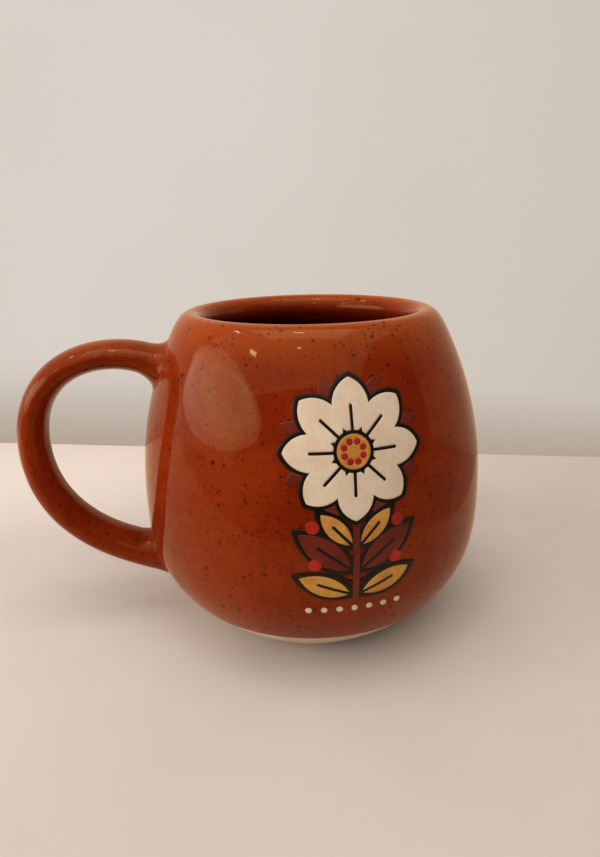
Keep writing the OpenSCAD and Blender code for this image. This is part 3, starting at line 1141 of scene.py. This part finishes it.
@dataclass
class Print:
    """The raised print: one piece of fired enamel for each colour.

    Attributes:
        wall: The pot's outer surface.
        crease: Angle over which an edge counts as the enamel's rim, in degrees.
    """

    wall: Wall
    crease: float = 50

    def build_layer(self, node: str) -> bpy.types.Object:
        """Copies a colour's solid, closes it and smooths it.

        Args:
            node: The CAD node's name.

        Returns:
            The piece.
        """
        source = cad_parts[node]
        deselect()
        mesh = source.data.copy()
        piece = bpy.data.objects.new(f"{node}_raised", mesh)
        bpy.context.scene.collection.objects.link(piece)
        bpy.context.view_layer.objects.active = piece
        piece.select_set(True)
        bpy.ops.object.mode_set(mode="EDIT")
        bpy.ops.mesh.select_all(action="SELECT")
        bpy.ops.mesh.remove_doubles(threshold=MERGE)
        bpy.ops.object.mode_set(mode="OBJECT")
        smooth(self.crease)
        normals = [self.normal_at(mesh, face, i) for face in mesh.polygons for i in face.vertices]
        mesh.normals_split_custom_set(normals)
        return piece

    def normal_at(self, mesh: bpy.types.Mesh, face: bpy.types.MeshPolygon, index: int) -> Vector:
        """The normal of a face at one of its corners.

        Args:
            mesh: The piece's mesh.
            face: The face.
            index: The corner's vertex.

        Returns:
            The pot's own normal on the enamel's skin, and the face's normal on its rim.
        """
        at = mesh.vertices[index].co
        out = math.hypot(at.x, at.y)
        skin = Vector((at.x / out, at.y / out, -self.wall.slope(at.z))).normalized()
        return skin if face.normal.dot(skin) > math.cos(math.radians(self.crease)) else face.normal.copy()


# Light, table, wall and camera


def bearing(azimuth: float, height: float) -> Vector:
    """A direction as the photograph's camera has it.

    Args:
        azimuth: Degrees to the right of the camera, seen from the mug.
        height: Degrees above the table.

    Returns:
        The direction from the mug, of length 1.
    """
    turn, rise = math.radians(azimuth - 90 - View.turn), math.radians(height)
    return Vector((math.cos(turn) * math.cos(rise), math.sin(turn) * math.cos(rise), math.sin(rise)))


@dataclass(frozen=True)
class Lamp:
    """A flat soft light: a lamp, or a bright part of the room.

    Attributes:
        name: Its name.
        azimuth: Degrees to the right of the camera, seen from the mug.
        height: Degrees above the table.
        distance: Distance from the mug, in metres.
        size: Width and height, in metres.
        brightness: How bright its face is, where 1 is white.
        level: Whether it faces straight down, and not the mug.
        oval: Whether it is oval, and not rectangular.
    """

    name: str
    azimuth: float
    height: float
    distance: float
    size: Point2
    brightness: float
    level: bool = False
    oval: bool = False

    def hang(self) -> None:
        """Adds the lamp to the scene."""
        data = bpy.data.lights.new(self.name, "AREA")
        data.shape = "ELLIPSE" if self.oval else "RECTANGLE"
        data.size, data.size_y = self.size
        data.energy = self.brightness * math.pi * self.size[0] * self.size[1]
        data.color = LAMPLIGHT[:3]
        lamp = bpy.data.objects.new(self.name, data)
        way = bearing(self.azimuth, self.height)
        lamp.location = Vector(MIDDLE) + way * self.distance
        lamp.rotation_euler = way.to_track_quat("Z", "Y").to_euler()
        if self.level:
            lamp.rotation_euler = (0, 0, -math.radians(View.turn))
        bpy.context.scene.collection.objects.link(lamp)


@dataclass(frozen=True)
class Studio:
    """The pale table and wall, and the soft light of a pale room.

    Attributes:
        table_colour: Colour of the table.
        table_waves: Its stains and its grain, in waves per metre.
        table_stain: Brightness of its stains, where 1 is its own colour.
        table_grain: How much of a stain's colour its grain has.
        table_painted_light: Brightness of the painted light close to the wall.
        table_painted_light_y: Distance behind the mug's axis where that painted light starts.
        table_front_shade_colour: Its colour in front of the mug, a painted shade.
        table_front_shade_y: Where that painted shade is full, as a distance behind the mug's axis.
        table_shade_fade: Distances from the mug between which the table gets darker, a painted shade.
        table_far_shade: Its brightness beyond them.
        table_roughness: Its roughness.
        wall_colour: Colour of the wall.
        wall_waves: Its stains, in waves per metre.
        wall_low_shade_colour: Colour of the wall close above the table, a painted shade.
        wall_low_shade_z: Height below which that painted shade is full, and height where it ends.
        wall_stain: How much of it the stains have.
        wall_right_shade: How much of the painted shade the wall has on the right.
        wall_right_shade_x: Distances to the right of the mug's axis where that starts and is full.
        wall_roughness: The wall's roughness.
        wall_y: Distance of the wall behind the mug's axis.
        wall_turn: How far the wall and the table's edges are turned about the mug, in degrees.
        painted_reflection_corner: Where the table's painted reflection ends to the right and in front, before
            that turn; the table itself goes on.
        painted_dark_past_table: How much darker that painted reflection is beyond those two edges, from 0 to
            1.
        mirrored: Painted reflection: what the table's and wall's colour is multiplied by where the glaze
            mirrors them.
        shade: Brightness of the room where no lamp lights it.
        lamps: The lamps.
    """

    table_colour: Colour = srgb(210, 197, 187)
    table_waves: Point2 = (14.0, 420.0)
    table_stain: float = 0.9
    table_grain: float = 0.3
    table_painted_light: float = 1.16
    table_painted_light_y: float = 40 * MM
    table_front_shade_colour: Colour = srgb(196, 184, 174)
    table_front_shade_y: float = -160 * MM
    table_shade_fade: Point2 = (200 * MM, 900 * MM)
    table_far_shade: float = 0.8
    table_roughness: float = 0.7
    wall_colour: Colour = srgb(219, 210, 201)
    wall_waves: float = 7.0
    wall_low_shade_colour: Colour = srgb(176, 160, 145)
    wall_low_shade_z: Point2 = (-12 * MM, 60 * MM)
    wall_stain: float = 0.1
    wall_right_shade: float = 0.42
    wall_right_shade_x: Point2 = (-50 * MM, 250 * MM)
    wall_roughness: float = 0.9
    wall_y: float = 122.5 * MM
    wall_turn: float = -18.4
    painted_reflection_corner: Point2 = (120 * MM, -133 * MM)
    painted_dark_past_table: Point2 = (0.45, 0.9)
    mirrored: tuple[float, float, float] = (1.08, 0.87, 0.62)
    shade: float = 0.1
    lamps: tuple[Lamp, ...] = (
        Lamp("ceiling", -21, 49.6, 1.57, (3.26, 2.1), 1.0, level=True),
        Lamp("overhead", -20, 84, 1.1, (0.95, 0.95), 1.8, level=True),
        Lamp("window", -68, 17, 1.2, (1.6, 0.62), 1.5, oval=True),
        Lamp("window_middle", -68, 18, 1.19, (1.4, 0.48), 0.7, oval=True),
        Lamp("pane", -62, 20, 1.18, (1.0, 0.36), 0.7, oval=True),
        Lamp("left_side", -88, 8, 1.4, (2.3, 0.62), 0.5),
        Lamp("strip_1", -100, 55, 1.5, (0.24, 0.045), 22.0),
        Lamp("strip_2", -49, 37.5, 1.5, (0.14, 0.045), 22.0),
        Lamp("bulb_1", -9, 45, 1.5, (0.06, 0.05), 22.0),
        Lamp("bulb_2", -30, 80, 0.8, (0.08, 0.04), 22.0),
    )

    def build(self) -> None:
        """Builds the table, the wall, the room's light and the lamps."""
        self.build_table()
        self.build_wall()
        self.build_room()
        for lamp in self.lamps:
            lamp.hang()

    def build_table(self) -> None:
        """Adds the table's top, with painted light close to the wall, painted shade in front of the mug and
        far from it, and a painted reflection past two edges.
        """
        deselect()
        bpy.ops.mesh.primitive_plane_add(size=SHEET, location=(0, 0, 0))
        table = bpy.context.object
        table.name = "table"
        material, graph, place = new_material("pale_table")
        broad, fine = self.table_waves
        cloud = graph.ramp(graph.noise(place, broad, detail=4.0), 0.3, 0.7)
        grain = graph.noise(place, fine, detail=4.0, rough=0.7)
        grain = graph.ramp(grain, 0.35, 0.75, (0.0, self.table_grain))
        patches = graph.math("MAXIMUM", cloud, grain)
        colour = graph.blend(patches, self.table_colour, shaded(self.table_colour, self.table_stain))
        depth = graph.axis(place, "Y")
        # Painted light: the table is lighter close to the wall
        painted_light_near_wall = graph.ramp(depth, self.table_painted_light_y, self.wall_y)
        colour = graph.blend(painted_light_near_wall, colour, shaded(self.table_colour, self.table_painted_light))
        # Painted shade: the table is darker in front of the mug
        front = graph.ramp(depth, self.table_front_shade_y, 0.0, (1.0, 0.0))
        colour = graph.blend(front, colour, self.table_front_shade_colour)
        # Painted shade: the table gets darker far from the mug
        away = graph.add("ShaderNodeVectorMath", {0: place}, operation="LENGTH").outputs["Value"]
        links = {0: colour, "Scale": graph.ramp(away, *self.table_shade_fade, (1.0, self.table_far_shade))}
        colour = graph.add("ShaderNodeVectorMath", links, operation="SCALE").outputs[0]
        # Painted reflection: the table is warmer, and dark past two edges, where the glaze mirrors it
        colour = self.with_painted_reflection(graph, colour, self.painted_reflection_edges(graph, place))
        links = {"Base Color": colour, "Roughness": self.table_roughness}
        finish_material(graph, graph.add("ShaderNodeBsdfPrincipled", links))
        table.data.materials.append(material)

    def painted_reflection_edges(self, graph: Graph, place: bpy.types.NodeSocket) -> bpy.types.NodeSocket:
        """How much darker a point of the table's plane shows in the glaze's reflections: a painted reflection
        of table edges, though the table itself goes on.

        Args:
            graph: The material's graph.
            place: The coordinates in metres.

        Returns:
            0 inside the painted edges and up to 1 beyond them.
        """
        soft = 0.5 * MM
        links = {"Vector": place, "Angle": -math.radians(self.wall_turn)}
        square = graph.add("ShaderNodeVectorRotate", links, rotation_type="Z_AXIS").outputs[0]
        (right, ahead), (dark_right, dark_ahead) = self.painted_reflection_corner, self.painted_dark_past_table
        painted_dark = graph.ramp(graph.axis(square, "X"), right - soft, right + soft, (0.0, dark_right))
        front = graph.ramp(graph.axis(square, "Y"), ahead - soft, ahead + soft, (dark_ahead, 0.0))
        return graph.math("MAXIMUM", painted_dark, front)

    def with_painted_reflection(self, graph: Graph, colour: bpy.types.NodeSocket, painted_dark: object) -> bpy.types.NodeSocket:
        """Makes a colour of the room warmer where it is mirrored, as the photograph's reflections are.

        Args:
            graph: The material's graph.
            colour: The colour where it is seen directly.
            painted_dark: How much darker its painted reflection is, from 0 to 1.

        Returns:
            The colour for the ray at hand.
        """
        # Painted reflection: the table and the wall change colour only where the glaze mirrors them
        glossy = graph.add("ShaderNodeLightPath").outputs["Is Glossy Ray"]
        links = {0: colour, 1: self.mirrored}
        warm = graph.add("ShaderNodeVectorMath", links, operation="MULTIPLY").outputs[0]
        return graph.blend(glossy, colour, graph.blend(painted_dark, warm, BLACK))

    def build_wall(self) -> None:
        """Adds the wall, which can be looked through from behind."""
        deselect()
        facing = math.radians(self.wall_turn)
        at = Matrix.Rotation(facing, 3, "Z") @ Vector((0, self.wall_y, SHEET / 2))
        bpy.ops.mesh.primitive_plane_add(size=SHEET, location=at, rotation=(math.pi / 2, 0, facing))
        wall = bpy.context.object
        wall.name = "wall"
        deselect()
        wall.select_set(True)
        bpy.ops.object.transform_apply()
        material, graph, place = new_material("pale_wall")
        cloud = graph.ramp(graph.noise(place, self.wall_waves), 0.3, 0.7, (0.0, self.wall_stain))
        # Painted shade: the wall is darker on the right and close above the table; the stains are its own
        right = graph.ramp(graph.axis(place, "X"), *self.wall_right_shade_x, (0.0, self.wall_right_shade))
        low = graph.ramp(graph.axis(place, "Z"), *self.wall_low_shade_z, (1.0, 0.0))
        stains_and_shade = graph.math("MAXIMUM", graph.math("ADD", cloud, right), low)
        colour = graph.blend(stains_and_shade, self.wall_colour, self.wall_low_shade_colour)
        colour = self.with_painted_reflection(graph, colour, 0.0)
        links = {"Base Color": colour, "Roughness": self.wall_roughness}
        plaster = graph.add("ShaderNodeBsdfPrincipled", links).outputs[0]
        # The camera and the glaze's reflections see the wall as a glowing colour, with that painted shade,
        # not as lit plaster
        plain = graph.add("ShaderNodeEmission", {"Color": colour, "Strength": 1.0}).outputs[0]
        rays = graph.add("ShaderNodeLightPath").outputs
        seen = graph.math("MAXIMUM", rays["Is Camera Ray"], rays["Is Glossy Ray"])
        seen = graph.math("MAXIMUM", seen, rays["Is Transmission Ray"])
        front = graph.add("ShaderNodeMixShader", {0: seen, 1: plaster, 2: plain}).outputs[0]
        behind = graph.add("ShaderNodeNewGeometry").outputs["Backfacing"]
        clear = graph.add("ShaderNodeBsdfTransparent").outputs[0]
        finish_material(graph, graph.add("ShaderNodeMixShader", {0: behind, 1: front, 2: clear}))
        wall.data.materials.append(material)

    def build_room(self) -> None:
        """Gives the room the same soft light on all sides."""
        world = bpy.data.worlds.new("room")
        world.use_nodes = True
        bpy.context.scene.world = world
        graph = Graph(world.node_tree)
        light = graph.add("ShaderNodeBackground", {"Color": LAMPLIGHT, "Strength": self.shade})
        graph.add("ShaderNodeOutputWorld", {"Surface": light.outputs[0]})


@dataclass(frozen=True)
class View:
    """The photograph's camera.

    Attributes:
        distance: Distance from the pot's axis.
        height: Height above the table.
        turn: How far it stands round towards the handle, in degrees.
        pitch: How far it looks down, in degrees.
        yaw: How far it looks to the left of the axis, in degrees.
        roll: How far it leans to the left, in degrees.
        focal_px: Focal length in pixels of the photograph.
        sensor: Height of the camera's sensor, in millimetres.
        nearest: Distance from which it sees.
    """

    distance: float = 166.4 * MM
    height: float = 108.9 * MM
    turn: float = 12.0
    pitch: float = 18.52
    yaw: float = 1.02
    roll: float = -1.27
    focal_px: float = 600.0
    sensor: float = 36.0
    nearest: float = 10 * MM

    def build(self) -> None:
        """Adds the camera and makes it the scene's."""
        data = bpy.data.cameras.new("camera")
        data.sensor_fit = "VERTICAL"
        data.sensor_height = self.sensor
        data.lens = self.focal_px / IMAGE_H * self.sensor
        data.clip_start = self.nearest
        camera = bpy.data.objects.new("camera", data)
        bpy.context.scene.collection.objects.link(camera)
        turn = math.radians(self.turn)
        camera.location = (-self.distance * math.sin(turn), -self.distance * math.cos(turn), self.height)
        heading = Matrix.Rotation(math.radians(self.yaw - self.turn), 4, "Z")
        tilt = Matrix.Rotation(math.radians(90 - self.pitch), 4, "X")
        lean = Matrix.Rotation(math.radians(self.roll), 4, "Z")
        camera.rotation_euler = (heading @ tilt @ lean).to_euler()
        bpy.context.scene.camera = camera


ENAMELS = {
    "print_dark": Enamel(Slot.DARK, srgb(14, 9, 8), srgb(24, 14, 11)),
    "print_cream": Enamel(Slot.CREAM, srgb(228, 204, 176), srgb(217, 189, 158)),
    "print_ochre": Enamel(Slot.OCHRE, srgb(206, 148, 66), srgb(186, 118, 46)),
    "print_russet": Enamel(Slot.RUSSET, srgb(112, 34, 18), srgb(92, 26, 14)),
    "print_red": Enamel(Slot.RED, srgb(178, 32, 24), srgb(150, 26, 20)),
}


def main() -> None:
    """Builds the studio and every piece of the mug."""
    bpy.context.scene.view_settings.view_transform = "Standard"
    View().build()
    Studio().build()
    effects = Effects()
    wall = Wall()
    pot = Pot(wall)
    handle = Handle(wall)
    glaze = Glaze(pot).make(effects)
    dress(pot.build_pot(), glaze, Slot.GLAZE, "pot")
    dress(pot.build_foot(), BareClay().make(effects), Slot.CLAY, "foot")
    dress(handle.build_strap(), glaze, Slot.GLAZE, "handle_strap")
    dress(handle.build_lute("lute_upper", handle.upper), glaze, Slot.GLAZE, "upper_lute")
    dress(handle.build_lute("lute_lower", handle.lower), glaze, Slot.GLAZE, "lower_lute")
    for node, enamel in ENAMELS.items():
        dress(Print(wall).build_layer(node), enamel.make(effects), enamel.slot, node)


if __name__ == "__main__":
    main()
